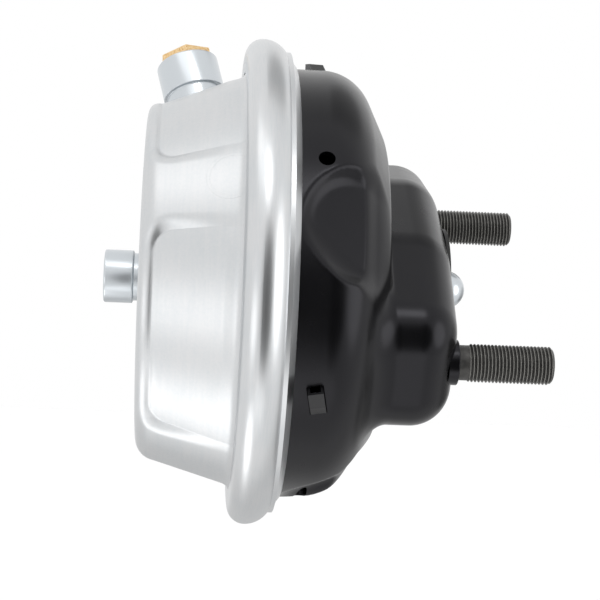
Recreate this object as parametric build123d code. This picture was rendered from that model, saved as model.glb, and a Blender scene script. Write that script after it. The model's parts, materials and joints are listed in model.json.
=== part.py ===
from build123d import *
import math
import os

# Air brake chamber, disc-brake type, with an axial push rod.
# Millimetres. X runs along the chamber from the supply port to the push rod and is 0 on the
# mounting face. Z is up. Angles round the X axis start at -Y and turn towards +Z.

# --- mounting ---
stud_spacing = 120.65        # between the two stud centres
stud_angle = -30.0           # where the lower stud lies round the axis
stud_d = 16.0                # M16 x 1.5 crest
stud_reach = 41.4            # from the mounting face to the stud's end
stud_head_d = 27.0
stud_head_t = 7.0
stud_chamfer = 1.3
stud_shank_d = 17.0          # pressed shank inside the neck
sleeve_d = 19.0              # pressed collar round each stud, in the mounting face

# --- housing, pressed steel, painted ---
wall = 2.8
drum_r = 94.4
drum_front_x = -39.9         # where the drum line and the shoulder cone would meet
shoulder_slope = 72.3        # degrees, shoulder cone to the axis
shoulder_round = 22.0
neck_stud_inset = 19.325     # centre of the neck's round end, inside the stud circle
neck_end_r = 37.5
neck_front_round = 13.0
neck_back_x = -47.2          # where the neck's walls end, inside the drum
shoulder_inner_r = 30.0      # where the shoulder cone ends, inside the neck
lobe_r = 15.5                # corners of the bulge that clears each stud head
lobe_stud_offset = 4.975     # centre of the lobe's corners, outside the stud circle
lobe_half_angle = 11.5
lobe_front_x = -12.5
lobe_front_round = 3.5
scallop_offset = 45.0        # each scallop's angle from the stud line
scallop_x = -47.0
scallop_r = 20.0             # round back end of a scallop's floor
scallop_flat = 13.0          # from its centre to the straight side, towards the stud
scallop_flat_angle = 40.0
scallop_depth = 5.0
scallop_lean = 10.0          # floor towards the shoulder
scallop_draft = 35.0
scallop_floor_round = 3.0
mouth_r = 22.0               # opening in the mounting face

# --- flanges and clamp ring ---
flange_width = 6.6           # from the drum to the flange's edge
bead_t = 9.8                 # diaphragm bead between the two flanges
flange_front_x = -71.6       # front face of the housing flange
ring_wall = 3.0
ring_proud = 5.7             # ring's crown outside the flanges
ring_round = 10.5
ring_clear = 0.4             # ring lips to the drum and to the cover

# --- cover, pressed steel, zinc plated ---
cover_back_x = -131.6
cover_wall_slope = 14.0      # degrees, land wall to the axis
cover_land_inset = 3.4       # land wall at its flange, inside the drum's radius
cover_round = 11.0
recess_wall_slope = 19.0
recess_end_depth = 1.4       # recess in the end face
recess_sectors = ((38.5, 187.5), (212.0, 274.5), (311.5, 374.0))
port_angle = 113.0           # side port, round the axis
boss_r = 11.65               # axial supply port
boss_back_x = -148.3
boss_groove_x = -135.4
boss_groove_d = 21.0
collar_r = 14.0
collar_t = 1.6
port_thread_r = 7.25         # M16 x 1.5 tapped hole, minor radius
port_thread_depth = 11.5
side_boss_r = 14.3
side_boss_neck_r = 12.9
side_boss_neck_l = 9.6
side_boss_reach = 26.2       # boss length outside the wall
side_port_x = -109.6
side_port_lean = 14.0        # towards the end face
plug_hex_af = 22.0
plug_hex_t = 3.4
plug_thread_l = 9.0
seal_t = 0.6
seal_inset = 0.8             # washer's edge inside the hexagon's flats
seal_clear = 0.4             # washer's hole round the thread

# --- diaphragm, plate and rod ---
membrane_t = 2.8
fit_gap = 0.3                # between curved faces that only lie close
plate_roll_gap = 30.4        # from the plate's edge to the drum, for the diaphragm's roll
plate_base_round = 2.0       # inside the plate's rim
plate_t = 3.0
plate_lip = 5.0
rod_r = 9.5
rod_foot_r = 17.0
rod_foot_t = 4.0
rod_front_x = -6.0
ball_r = 8.4
ball_x = 3.6
ball_neck_r = 5.5
ball_stem_r = 5.0
ball_stem_l = 16.0
press_gap = 0.02
rivet_r = 7.0
rivet_head_t = 2.4

# --- return spring, seat and boot ---
wire_d = 6.0
spring_back_r = 46.0
spring_front_r = 29.5
spring_turns = 6             # working turns
closed_turns = 1             # at each end
closed_pitch = 0.52          # of a closed turn's half, as a share of the wire
seat_t = 3.0
neck_plate_t = 5.0
seat_rim_t = 1.8
boot_t = 1.6
boot_lip_t = 2.5             # lip that seals on the brake caliper
boot_lip_l = 5.0             # lip's thick rim, along the mouth
boot_lip_taper = 0.8
boot_folds = 3
boot_fold_depth = 3.0
boot_fold_pitch = 7.0
boot_cuff_l = 7.0
boot_cuff_x = -20.0          # back end of the cuff on the rod
retainer_t = 1.2
retainer_l = 8.0
cuff_wire_r = 0.8

# --- vents ---
vent_x = -60.0
vent_w = 7.0                 # along the axis
vent_l = 13.0                # round the drum
vent_flap_t = 1.1
vent_flap_rise = 3.7
vent_slot = 4.3              # open part of the window, past the flap's mouth
vent_gap = 0.1
vent_hook_l = 2.0
vent_hook_gap = 0.6          # the flat hook behind the curved drum
vent_angles = {"lower": -30.0, "top": 90.0, "rear": 222.0}
breather_hole_r = 3.4
breather_hole_x = -58.5
breather_angles = (32.0, 152.0, 272.0)

os.makedirs("parts", exist_ok=True)

stud_r = stud_spacing / 2
neck_half_length = stud_r - neck_stud_inset
lobe_centre_r = stud_r + lobe_stud_offset
flange_r = drum_r + flange_width
ring_r = flange_r + ring_proud
plate_r = drum_r - plate_roll_gap
cover_land_r = drum_r - cover_land_inset
housing_flange_x = flange_front_x - wall          # back face of the housing flange
cover_flange_x = housing_flange_x - bead_t        # front face of the cover flange
cover_flange_back = cover_flange_x - wall
ring_front_x = flange_front_x + ring_wall
ring_back_x = cover_flange_back - ring_wall


def around(angle):
    """Turns a piece made at angle 0, on the -Y side, to an angle round the X axis."""
    return Rot(-angle, 0, 0)


def turned(points, rounds=None):
    """Solid of revolution about X from (x, radius) corners, some of them rounded."""
    face = make_face(Polyline(*points, close=True))
    for (x, r), size in (rounds or {}).items():
        corner = face.vertices().sort_by_distance((x, r, 0))[0]
        face = fillet(corner, size)
    return revolve(face, Axis.X)


def tube(x0, x1, outer, inner=0.0):
    """Round bar or tube along X."""
    along_x = Pos(x0, 0, 0) * Rot(0, 90, 0)
    upwards = (Align.CENTER, Align.CENTER, Align.MIN)
    body = along_x * Cylinder(outer, x1 - x0, align=upwards)
    if inner:
        body -= along_x * Cylinder(inner, x1 - x0, align=upwards)
    return body


def beside(y, z, piece):
    """Moves a piece that lies on the X axis to (y, z)."""
    return Pos(0, y, z) * piece


def stud_centre(side):
    """(y, z) of the lower stud for side +1 and the upper stud for side -1."""
    a = math.radians(stud_angle)
    return -side * stud_r * math.cos(a), side * stud_r * math.sin(a)


def stadium(half_length, radius, x0, x1):
    """Stadium-shaped bar along X, long in the stud line."""
    plane = Plane(origin=(x0, 0, 0), x_dir=(0, -1, 0), z_dir=(1, 0, 0))
    flat = plane * SlotCenterToCenter(2 * half_length, 2 * radius)
    return around(stud_angle) * extrude(flat, x1 - x0, dir=(1, 0, 0))


def shoulder_x(radius, inset):
    """X of the shoulder cone at a radius, for the skin that lies inset inside the outer one."""
    slope = math.radians(shoulder_slope)
    return drum_front_x - inset / math.sin(slope) + (drum_r - radius) / math.tan(slope)


def lobe(inset, side):
    """Bulge of the neck round one stud head."""
    turn = stud_angle + (0 if side > 0 else 180)
    radius = lobe_r - inset
    ends = []
    for half in (-lobe_half_angle, lobe_half_angle):
        a = math.radians(half)
        ends.append((lobe_centre_r * math.cos(a), lobe_centre_r * math.sin(a)))
    plane = Plane(origin=(shoulder_x(drum_r, inset) + inset, 0, 0), x_dir=(0, -1, 0), z_dir=(1, 0, 0))
    flat = Pos(*ends[0]) * Circle(radius) + Pos(*ends[1]) * Circle(radius)
    flat += Pos(ends[0][0] / 2 + radius / 2, 0) * Rectangle(ends[0][0] + radius, 2 * abs(ends[0][1]))
    flat += Pos(ends[0][0] / 2, 0) * Rectangle(ends[0][0], 2 * (abs(ends[0][1]) + radius))
    length = lobe_front_x - inset - (shoulder_x(drum_r, inset) + inset)
    body = extrude(plane * flat, length, dir=(1, 0, 0))
    return around(turn) * body


def scallop(inset, angle, side):
    """Cutter for one clearance scallop: round at the back, straight towards the stud, flat floor."""
    lean = math.radians(scallop_lean)
    reach = 2 * scallop_r
    end_r = scallop_r + inset
    round_end = Circle(end_r) + Pos(reach / 2, 0) * Rectangle(reach, 2 * end_r)
    far_side = (Align.CENTER, Align.MIN if side < 0 else Align.MAX)
    beyond = Pos(0, -side * (scallop_flat + inset)) * Rectangle(4 * reach, 2 * reach, align=far_side)
    outline = round_end - Rot(0, 0, -side * scallop_flat_angle) * beyond
    along = (math.cos(lean), math.sin(lean), 0)
    floor = Plane(origin=(0, 0, 0), x_dir=along, z_dir=(math.sin(lean), -math.cos(lean), 0))
    depth = 3 * scallop_depth
    block = extrude(floor * outline, depth, taper=-scallop_draft)
    sole = block.faces().sort_by_distance((0, 0, 0))[0]
    block = fillet(sole.edges(), scallop_floor_round + inset)
    return around(angle) * (Pos(scallop_x, -(drum_r - scallop_depth - inset), 0) * block)


def housing_form(inset):
    """Outer form of the housing for inset 0, and of its hollow for the wall's thickness."""
    radius = drum_r - inset
    back = housing_flange_x - (1 if inset else 0)
    drum = turned(
        [(back, 0), (back, radius), (shoulder_x(radius, inset), radius),
         (shoulder_x(shoulder_inner_r, inset), shoulder_inner_r), (shoulder_x(shoulder_inner_r, inset), 0)],
        {(shoulder_x(radius, inset), radius): shoulder_round - inset})
    for side in (1, -1):
        for turn in (0, 180):
            drum -= scallop(inset, stud_angle + turn + side * scallop_offset, side)
    neck = stadium(neck_half_length, neck_end_r - inset, neck_back_x, -inset)
    front = neck.faces().sort_by(Axis.X)[-1]
    neck = fillet(front.edges(), neck_front_round - inset)
    for side in (1, -1):
        bulge = lobe(inset, side)
        rim = bulge.faces().sort_by(Axis.X)[-1]
        neck += fillet(rim.edges(), lobe_front_round - inset / 2)
    return drum + neck


def housing():
    """Painted drum, shoulder and neck with its flange, mouth, stud holes, vents and breather holes."""
    body = housing_form(0)
    body += tube(housing_flange_x, flange_front_x, flange_r)
    body -= housing_form(wall)
    body -= tube(-wall - 1, 1, mouth_r)
    for side in (1, -1):
        y, z = stud_centre(side)
        body -= beside(y, z, tube(-wall - 1, 1, sleeve_d / 2 + press_gap))
    for angle in vent_angles.values():
        window = Box(vent_w, 3 * wall, vent_l)
        body -= around(angle) * (Pos(vent_x, -drum_r, 0) * window)
    for angle in breather_angles:
        drill = Rot(90, 0, 0) * Cylinder(breather_hole_r, 4 * wall)
        body -= around(angle) * (Pos(breather_hole_x, -drum_r, 0) * drill)
    return body


def cover_profile(offset, recessed):
    """(x, radius) corners of the cover's skin: the proud lands, or the pressed-in recesses."""
    slope = math.radians(recess_wall_slope if recessed else cover_wall_slope)
    back = cover_back_x + (recess_end_depth if recessed else 0) + offset
    front = cover_flange_x if offset else cover_flange_back
    side = offset / math.cos(slope)
    back_r = cover_land_r - side - (cover_flange_back - back) * math.tan(slope)
    front_r = cover_land_r - side + (front - cover_flange_back) * math.tan(slope)
    return [(back, 0), (back, back_r), (front, front_r), (front, 0)], (back, back_r)


def wedge(start, end):
    """Sector between two angles, larger than the cover."""
    count = 8
    reach = 2 * flange_r
    points = [(0, 0)]
    for i in range(count + 1):
        a = math.radians(start + (end - start) * i / count)
        points.append((-reach * math.cos(a), reach * math.sin(a)))
    plane = Plane(origin=(cover_back_x - 2 * wall, 0, 0), x_dir=(0, 1, 0), z_dir=(1, 0, 0))
    length = cover_flange_x - cover_back_x + 4 * wall
    return extrude(plane * make_face(Polyline(*points, close=True)), length, dir=(1, 0, 0))


def cover_form(offset):
    """Outer form of the cover for offset 0, and its hollow for the wall's thickness."""
    land, land_corner = cover_profile(offset, False)
    recess, recess_corner = cover_profile(offset, True)
    body = turned(land, {land_corner: cover_round - offset})
    low = turned(recess, {recess_corner: cover_round - offset})
    rim = body - low
    for start, end in recess_sectors:
        rim -= wedge(start, end)
    return low + rim


def side_port(piece):
    """Places a piece made along +X from the cover's skin at the side port, square to the wall."""
    slope = math.radians(recess_wall_slope)
    skin_r = cover_land_r - (cover_flange_back - side_port_x) * math.tan(slope)
    lean = 90 + side_port_lean
    return around(port_angle) * (Pos(side_port_x, -skin_r, 0) * Rot(0, 0, -lean) * piece)


def cover():
    """Zinc-plated cup with its flange, collar and the two port holes."""
    body = cover_form(0)
    body += tube(cover_flange_back, cover_flange_x, flange_r)
    body += tube(cover_back_x - collar_t, cover_back_x + recess_end_depth + wall / 2, collar_r)
    body -= cover_form(wall)
    body -= tube(cover_back_x - 2 * collar_t, cover_back_x + 3 * wall, boss_groove_d / 2 + press_gap)
    body -= side_port(tube(-3 * wall, 2 * wall, side_boss_neck_r + press_gap))
    return body


def axial_port_boss():
    """Turned boss for the supply hose, tapped from its open end and welded into the cover."""
    inner = cover_back_x + recess_end_depth + wall
    body = tube(boss_back_x, boss_groove_x, boss_r)
    rim = body.edges().filter_by(GeomType.CIRCLE)
    body = chamfer(rim.sort_by(Axis.X)[0], 0.8)
    body += tube(boss_groove_x, inner, boss_groove_d / 2)
    body -= tube(boss_back_x - 1, boss_back_x + port_thread_depth, port_thread_r)
    body -= tube(boss_back_x, inner + 1, port_thread_r / 2)
    return body


def side_port_boss():
    """Turned boss of the second port, with a narrower neck where it is welded to the wall."""
    body = tube(side_boss_neck_l, side_boss_reach, side_boss_r)
    body = chamfer(body.edges().filter_by(GeomType.CIRCLE).sort_by(Axis.X)[-1], 0.8)
    body += tube(-wall, side_boss_neck_l, side_boss_neck_r)
    body -= tube(side_boss_reach - plug_thread_l - 1.5, side_boss_reach + 1, port_thread_r)
    body -= tube(-wall - 1, side_boss_reach, port_thread_r / 2)
    return side_port(body)


def side_port_seal():
    """Sealing washer under the plug's head."""
    outer = plug_hex_af / 2 - seal_inset
    return side_port(tube(side_boss_reach, side_boss_reach + seal_t, outer, port_thread_r + seal_clear))


def side_port_plug():
    """Brass plug, hexagon head on a threaded shank."""
    base = side_boss_reach + seal_t
    plane = Plane(origin=(base, 0, 0), x_dir=(0, 1, 0), z_dir=(1, 0, 0))
    flats_r = plug_hex_af / 2
    head = extrude(plane * RegularPolygon(flats_r, 6, major_radius=False), plug_hex_t, dir=(1, 0, 0))
    slope = turned([(base - 1, 0), (base - 1, plug_hex_af), (base + plug_hex_t - 1.2, flats_r + 1.7),
                    (base + plug_hex_t, flats_r - 0.4), (base + plug_hex_t, 0)])
    head = head & slope
    return side_port(head + tube(side_boss_reach - plug_thread_l, base, port_thread_r - press_gap))


def clamp_ring():
    """Rolled ring that holds both flanges and the diaphragm's bead."""
    half = (ring_front_x - ring_back_x) / 2
    back_lip_r = cover_land_r + ring_clear + 0.6
    front_lip_r = drum_r + ring_clear
    hollow_r = flange_r + ring_clear
    skin = [(ring_back_x, back_lip_r), (ring_back_x, ring_r), (ring_front_x, ring_r),
            (ring_front_x, front_lip_r), (flange_front_x, front_lip_r), (flange_front_x, hollow_r),
            (cover_flange_back, hollow_r), (cover_flange_back, back_lip_r)]
    corner = min(ring_round, half - 0.2, ring_r - front_lip_r - 0.2)
    return turned(skin, {(ring_back_x, ring_r): corner, (ring_front_x, ring_r): corner})


def diaphragm():
    """Rubber cup: bead between the flanges, rolled wall and a flat bottom against the cover."""
    slope = math.radians(recess_wall_slope)
    back = cover_back_x + recess_end_depth + wall + fit_gap
    skin_r = cover_land_r - (wall + fit_gap + 1.2) / math.cos(slope)
    back_r = skin_r - (cover_flange_back - back) * math.tan(slope)
    inner = membrane_t / math.cos(slope)
    front = housing_flange_x
    bead_r = skin_r + (cover_flange_x - cover_flange_back) * math.tan(slope)
    inside = (back + membrane_t, back_r - inner + membrane_t * math.tan(slope))
    points = [(back, 0), (back, back_r), (cover_flange_x, bead_r), (cover_flange_x, flange_r - 0.6),
              (front, flange_r - 0.6), (front, drum_r - wall - 1.5), inside, (back + membrane_t, 0)]
    return turned(points, {(back, back_r): cover_round - wall, inside: cover_round - wall - membrane_t})


plate_back_x = cover_back_x + recess_end_depth + wall + fit_gap + membrane_t
plate_front_x = plate_back_x + plate_t
neck_plate_back_x = -wall - neck_plate_t
seat_back_x = neck_plate_back_x - seat_t


def pressure_plate():
    """Pressed disc on the diaphragm, with a rounded rim and a seat round the rod's foot."""
    rim_x = plate_back_x + plate_lip + plate_t
    inner_r = plate_r - plate_t
    body = turned([(plate_back_x, 0), (plate_back_x, plate_r), (rim_x, plate_r), (rim_x, inner_r),
                   (plate_front_x, inner_r), (plate_front_x, 0)],
                  {(plate_back_x, plate_r): plate_t + plate_base_round,
                   (plate_front_x, inner_r): plate_base_round})
    return body - tube(plate_back_x - 1, plate_front_x + 1, rivet_r + press_gap)


def push_rod():
    """Rod with its foot on the plate and a socket for the ball end."""
    body = tube(plate_front_x, plate_front_x + rod_foot_t, rod_foot_r)
    body += tube(plate_front_x, rod_front_x, rod_r)
    body = fillet(body.edges().filter_by(GeomType.CIRCLE).sort_by(Axis.X)[-1], 2.0)
    body += tube(plate_back_x + rivet_head_t, plate_front_x, rivet_r)
    return body - tube(rod_front_x - ball_stem_l, rod_front_x + 1, ball_stem_r + press_gap)


def plate_rivet():
    """Washer riveted on the rod's spigot, in the plate's back."""
    return tube(plate_back_x, plate_back_x + rivet_head_t, rivet_r)


def ball_end():
    """Hardened ball that pushes the brake lever, on a stem in the rod."""
    body = Pos(ball_x, 0, 0) * Sphere(ball_r)
    body += tube(rod_front_x, ball_x, ball_neck_r)
    return body + tube(rod_front_x - ball_stem_l + 1, rod_front_x, ball_stem_r)


def stud(side):
    """M16 stud pressed through the neck from inside."""
    y, z = stud_centre(side)
    body = tube(0, stud_reach, stud_d / 2)
    tip = body.edges().filter_by(GeomType.CIRCLE).sort_by(Axis.X)[-1]
    body = chamfer(tip, stud_chamfer)
    body += tube(neck_plate_back_x, 0, stud_shank_d / 2)
    body += tube(neck_plate_back_x - stud_head_t, neck_plate_back_x, stud_head_d / 2)
    return beside(y, z, body)


def stud_sleeve(side):
    """Pressed collar that centres the stud's shank in the mounting face."""
    y, z = stud_centre(side)
    return beside(y, z, tube(-wall, 0, sleeve_d / 2, stud_shank_d / 2 + press_gap))


def neck_plate():
    """Reinforcing plate behind the mounting face, shaped to the neck, under the stud heads."""
    inset = wall + fit_gap
    body = stadium(neck_half_length, neck_end_r - inset, 3 * neck_plate_back_x, -wall)
    front = body.faces().sort_by(Axis.X)[-1]
    body = fillet(front.edges(), neck_front_round - inset)
    body -= tube(4 * neck_plate_back_x, neck_plate_back_x, flange_r)
    body -= tube(neck_plate_back_x - 1, 0, mouth_r + 1)
    for side in (1, -1):
        y, z = stud_centre(side)
        body -= beside(y, z, tube(neck_plate_back_x - 1, 0, stud_shank_d / 2 + press_gap))
    return body


def spring_seat():
    """Ring on the reinforcing plate that centres the spring's front turn."""
    outer = spring_front_r + wire_d / 2
    body = tube(seat_back_x, neck_plate_back_x, outer, mouth_r + 1)
    return body + tube(seat_back_x - wire_d / 2, seat_back_x, spring_front_r - wire_d / 2 - fit_gap,
                       spring_front_r - wire_d / 2 - fit_gap - seat_rim_t)


def return_spring():
    """Conical coil between the plate and the seat, with a closed turn at each end."""
    start = plate_front_x + wire_d / 2 + fit_gap
    length = seat_back_x - wire_d / 2 - fit_gap - start
    flat = 2 * closed_turns
    halves = 2 * spring_turns + 2 * flat
    closed = wire_d * closed_pitch
    pitch = (length - 2 * flat * closed) / (halves - 2 * flat)
    x, radius = start, spring_back_r
    coil = None
    for half in range(halves):
        side = 1 if half % 2 else -1
        step = closed if half < flat or half >= halves - flat else pitch
        share = (x + step - start) / length
        next_radius = spring_back_r + (spring_front_r - spring_back_r) * share
        begin = Vector(x, side * radius, 0)
        end = Vector(x + step, -side * next_radius, 0)
        wire = Plane(origin=begin, z_dir=(0, 0, 1)) * Circle(wire_d / 2)
        hub = Axis((begin + end) * 0.5, (end - begin).cross(Vector(0, 0, side)))
        bend = revolve(wire, hub, 180)
        coil = bend if coil is None else coil + bend
        x, radius = x + step, next_radius
    return coil


def boot():
    """Rubber bellows: lip on the mounting face, folds inside the neck and a cuff on the rod."""
    half = boot_t / 2
    outer_r = mouth_r - fit_gap - half
    inner_r = rod_r + fit_gap + half
    line = [(half, outer_r)]
    x = -neck_plate_t - wall
    for fold in range(boot_folds):
        line += [(x, outer_r), (x - boot_fold_pitch / 2, outer_r - boot_fold_depth)]
        x -= boot_fold_pitch
    middle = (outer_r + inner_r) / 2
    line += [(x - half, middle), (boot_cuff_x, inner_r), (boot_cuff_x + boot_cuff_l, inner_r)]
    wall_line = Polyline(*line)
    body = revolve(make_face(offset(wall_line, half, side=Side.BOTH)), Axis.X)
    lip_r = mouth_r - fit_gap
    lip_back_x = boot_lip_t - boot_lip_l
    return body + turned([(lip_back_x, lip_r - boot_t), (lip_back_x, lip_r), (0, lip_r),
                          (boot_lip_t, lip_r - boot_lip_taper), (boot_lip_t, lip_r - boot_t)])


def boot_retainer():
    """Steel ring that holds the boot in the mouth."""
    outer = mouth_r - fit_gap - boot_t
    retainer_r = outer - fit_gap / 3
    return tube(boot_lip_t - retainer_l, boot_lip_t, retainer_r, retainer_r - retainer_t)


def cuff_ring():
    """Wire ring that grips the boot's cuff on the rod."""
    ring_r = rod_r + fit_gap + boot_t + cuff_wire_r
    body = Rot(0, 90, 0) * Torus(ring_r, cuff_wire_r)
    return Pos(boot_cuff_x + boot_cuff_l / 2, 0, 0) * body


def vent_flap(angle):
    """Snap-in hood over a vent window, open at its upper end, with a hook behind the drum."""
    low = -vent_l / 2 + vent_gap
    high = vent_l / 2 - vent_slot
    width = vent_w - 2 * vent_gap
    plane = Plane.YZ
    skin = -drum_r
    hood = [(skin + wall, low), (skin, low), (skin - vent_flap_rise * 0.8, high - vent_flap_rise),
            (skin - vent_flap_rise, high), (skin + wall, high)]
    hollow = [(skin + wall + 1, low + vent_flap_t), (skin, low + 1.5 * vent_flap_t),
              (skin - vent_flap_rise * 0.8 + vent_flap_t, high - vent_flap_rise + vent_flap_t / 2),
              (skin - vent_flap_rise + vent_flap_t, high + 1), (skin + wall + 1, high + 1)]
    body = extrude(plane * make_face(Polyline(*hood, close=True)), width / 2, both=True)
    body -= extrude(plane * make_face(Polyline(*hollow, close=True)), width / 2 - vent_flap_t, both=True)
    hook = Box(width, vent_flap_t, vent_hook_l + vent_flap_t, align=(Align.CENTER, Align.MIN, Align.MIN))
    body += Pos(0, skin + wall + vent_hook_gap, low - vent_hook_l) * hook
    leg = Box(width, vent_hook_gap, vent_flap_t, align=(Align.CENTER, Align.MIN, Align.MIN))
    body += Pos(0, skin + wall, low) * leg
    return around(angle) * (Pos(vent_x, 0, 0) * body)


nodes = {
    "cover": cover(), "axial_port_boss": axial_port_boss(), "side_port_boss": side_port_boss(),
    "side_port_seal": side_port_seal(), "side_port_plug": side_port_plug(), "clamp_ring": clamp_ring(),
    "diaphragm": diaphragm(), "housing": housing(), "neck_plate": neck_plate(),
    "stud_lower": stud(1), "stud_upper": stud(-1),
    "stud_sleeve_lower": stud_sleeve(1), "stud_sleeve_upper": stud_sleeve(-1),
    "pressure_plate": pressure_plate(), "push_rod": push_rod(), "plate_rivet": plate_rivet(),
    "ball_end": ball_end(), "return_spring": return_spring(), "spring_seat": spring_seat(),
    "boot": boot(), "boot_retainer": boot_retainer(), "cuff_ring": cuff_ring(),
}
for place, angle in vent_angles.items():
    nodes["vent_flap_" + place] = vent_flap(angle)

for name, piece in nodes.items():
    piece.label = name
    export_step(piece, "parts/" + name + ".step")
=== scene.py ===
"""Air brake chamber: finishes and detailed meshes, in the CAD frame.

+X runs along the chamber's axis out of the mounting face, +Z is up. Angles round the axis start at -Y, the
side towards the camera, and grow towards +Z. Lengths are millimetres until a mesh is made.
"""
import functools
import json
import math

import bmesh
import bpy
import numpy as np
from mathutils import Matrix, Vector


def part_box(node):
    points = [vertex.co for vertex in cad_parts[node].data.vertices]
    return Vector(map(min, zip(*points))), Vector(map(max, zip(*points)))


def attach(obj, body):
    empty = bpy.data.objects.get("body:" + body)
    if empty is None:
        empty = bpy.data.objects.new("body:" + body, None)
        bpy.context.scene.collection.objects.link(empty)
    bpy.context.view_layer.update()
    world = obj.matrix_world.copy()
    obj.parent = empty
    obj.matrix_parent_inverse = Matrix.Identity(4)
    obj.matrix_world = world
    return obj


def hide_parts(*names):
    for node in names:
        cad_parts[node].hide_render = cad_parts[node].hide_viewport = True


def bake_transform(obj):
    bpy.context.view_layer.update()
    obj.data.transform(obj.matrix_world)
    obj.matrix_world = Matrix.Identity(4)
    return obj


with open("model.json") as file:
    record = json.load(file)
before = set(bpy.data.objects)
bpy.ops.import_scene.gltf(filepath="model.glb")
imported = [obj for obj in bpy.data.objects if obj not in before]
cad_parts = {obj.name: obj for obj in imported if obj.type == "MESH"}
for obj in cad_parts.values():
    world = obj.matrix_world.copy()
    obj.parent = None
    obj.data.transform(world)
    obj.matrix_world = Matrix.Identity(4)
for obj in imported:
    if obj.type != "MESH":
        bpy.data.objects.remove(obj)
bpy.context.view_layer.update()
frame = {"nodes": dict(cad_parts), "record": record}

bl_info = {
    "name": "Air Brake Chamber",
    "version": (1, 0, 0),
    "blender": (4, 5, 0),
    "location": "View3D > Sidebar > Brake Chamber",
    "description": "Detailed meshes, finishes and a plain studio for an air brake chamber",
    "category": "Object",
}

MM = 0.001
RECORD = frame["record"]


# ---------------------------------------------------------------------------------------------
# Places read from the frame
# ---------------------------------------------------------------------------------------------

def box_mm(node):
    """Lowest and highest corner of a CAD node, in millimetres."""
    low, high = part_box(node)
    return [c / MM for c in low], [c / MM for c in high]


def mount(name):
    """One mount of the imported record."""
    return next(m for m in RECORD["mounts"] if m["name"] == name)


STUD_ANGLE = math.radians(-30)
STUD_SPACING = mount("mounting_studs")["dims"]["pcd_mm"]
STUD_R = mount("mounting_studs")["dims"]["stud_r_mm"]


# ---------------------------------------------------------------------------------------------
# Sizes and colours that a user would change
# ---------------------------------------------------------------------------------------------

def size_property(name, description, default):
    """A length in millimetres."""
    return bpy.props.FloatProperty(name=name, description=description, default=default, min=0.01)


def colour_property(name, description, default):
    """An sRGB hex colour."""
    return bpy.props.StringProperty(name=name, description=description, default=default)


class ChamberSizes(bpy.types.PropertyGroup):
    """Sizes of the visible forms, in millimetres."""
    wall: size_property("Sheet", "Thickness of the pressed steel shells", 2.8)
    drum_radius: size_property("Drum radius", "Outside radius of the housing's drum", 94.4)
    shoulder_round: size_property("Shoulder round", "Radius between the drum and its shoulder", 22.0)
    neck_round: size_property("Neck round", "Radius of the neck's front edge", 17.0)
    neck_root: size_property("Neck root", "Radius where the neck leaves the shoulder", 3.0)
    scallop_depth: size_property("Scallop depth", "Depth of the clearance scallops at their centre", 10.4)
    cover_round: size_property("Cover round", "Radius between the cover's end and its wall", 9.5)
    recess_depth: size_property("Recess depth", "Depth of the cover's pressed panels at the end face", 2.9)
    recess_edge: size_property("Recess edge", "Width of the rounded edge of a pressed panel", 6.5)
    thread_pitch: size_property("Thread pitch", "Pitch of the mounting stud's thread", 1.5)
    thread_depth: size_property("Thread depth", "Depth of the mounting stud's thread", 0.92)


class ChamberColours(bpy.types.PropertyGroup):
    """Colours of the finishes, as sRGB hex values."""
    zinc: colour_property("Zinc plate", "Bright zinc plated steel", "#d5d6d7")
    zinc_dull: colour_property("Dull zinc", "Cloudy patches of the zinc plate", "#ced1d3")
    # Colour of the painted shade in the creases at the foot of a pressed step, where the plate is darkened.
    zinc_crease_shade: colour_property("Zinc creases", "Plate at the foot of a pressed step", "#8d9092")
    turned: colour_property("Turned steel", "Turned and zinc plated bosses", "#cdd2d6")
    paint: colour_property("Black paint", "Electrocoat on the housing", "#040405")
    phosphate: colour_property("Phosphate", "Phosphated and oiled studs", "#484745")
    phosphate_crest: colour_property("Thread crest", "Thread crests where the phosphate is worn", "#7c7b77")
    brass: colour_property("Brass", "Turned brass plug", "#e3bd84")
    rubber: colour_property("Rubber", "Nitrile rubber of boot and diaphragm", "#0d0d0d")
    plastic: colour_property("Black nylon", "Moulded vent flaps and spring seat", "#1b1b1d")
    bare: colour_property("Bare steel", "Plain steel inside the chamber", "#a9a9a8")
    spring: colour_property("Spring coating", "Coated spring wire", "#23262b")


def sizes():
    """The sizes in use."""
    return bpy.context.scene.chamber_sizes


def colours():
    """The colours in use."""
    return bpy.context.scene.chamber_colours


# ---------------------------------------------------------------------------------------------
# Mesh helpers
# ---------------------------------------------------------------------------------------------

def smoothstep(low, high, value):
    """0 below low, 1 above high and a smooth ramp between."""
    t = np.clip((value - low) / (high - low), 0, 1)
    return t * t * (3 - 2 * t)


def quarter_wave(distance, width):
    """1 at distance 0 with a crease, falling to 0 at width with a smooth end."""
    return 1 - np.sin(np.clip(distance / width, 0, 1) * math.pi / 2)


def rounded(corners, steps=8):
    """(x, r) points of a profile whose corners (x, r, radius) are rounded; one without radius stays sharp."""
    points = []
    last = len(corners) - 1
    for i, corner in enumerate(corners):
        here = np.array(corner[:2], float)
        radius = corner[2] if len(corner) > 2 else 0
        if not radius or i in (0, last):
            points.append(here)
            continue
        back = np.array(corners[i - 1][:2], float) - here
        ahead = np.array(corners[i + 1][:2], float) - here
        back /= np.linalg.norm(back)
        ahead /= np.linalg.norm(ahead)
        half = math.acos(np.clip(back @ ahead, -1, 1)) / 2
        middle = back + ahead
        centre = here + middle / np.linalg.norm(middle) * radius / math.sin(half)
        start = here + back * radius / math.tan(half) - centre
        end = here + ahead * radius / math.tan(half) - centre
        sweep = math.pi - 2 * half
        for step in range(steps + 1):
            t = step / steps
            points.append(centre + (math.sin((1 - t) * sweep) * start + math.sin(t * sweep) * end)
                          / math.sin(sweep))
    return np.array(points)


def length_along(points):
    """Distance along a line of points up to each of them."""
    return np.r_[0, np.cumsum(np.linalg.norm(np.diff(points, axis=0), axis=1))]


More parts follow.
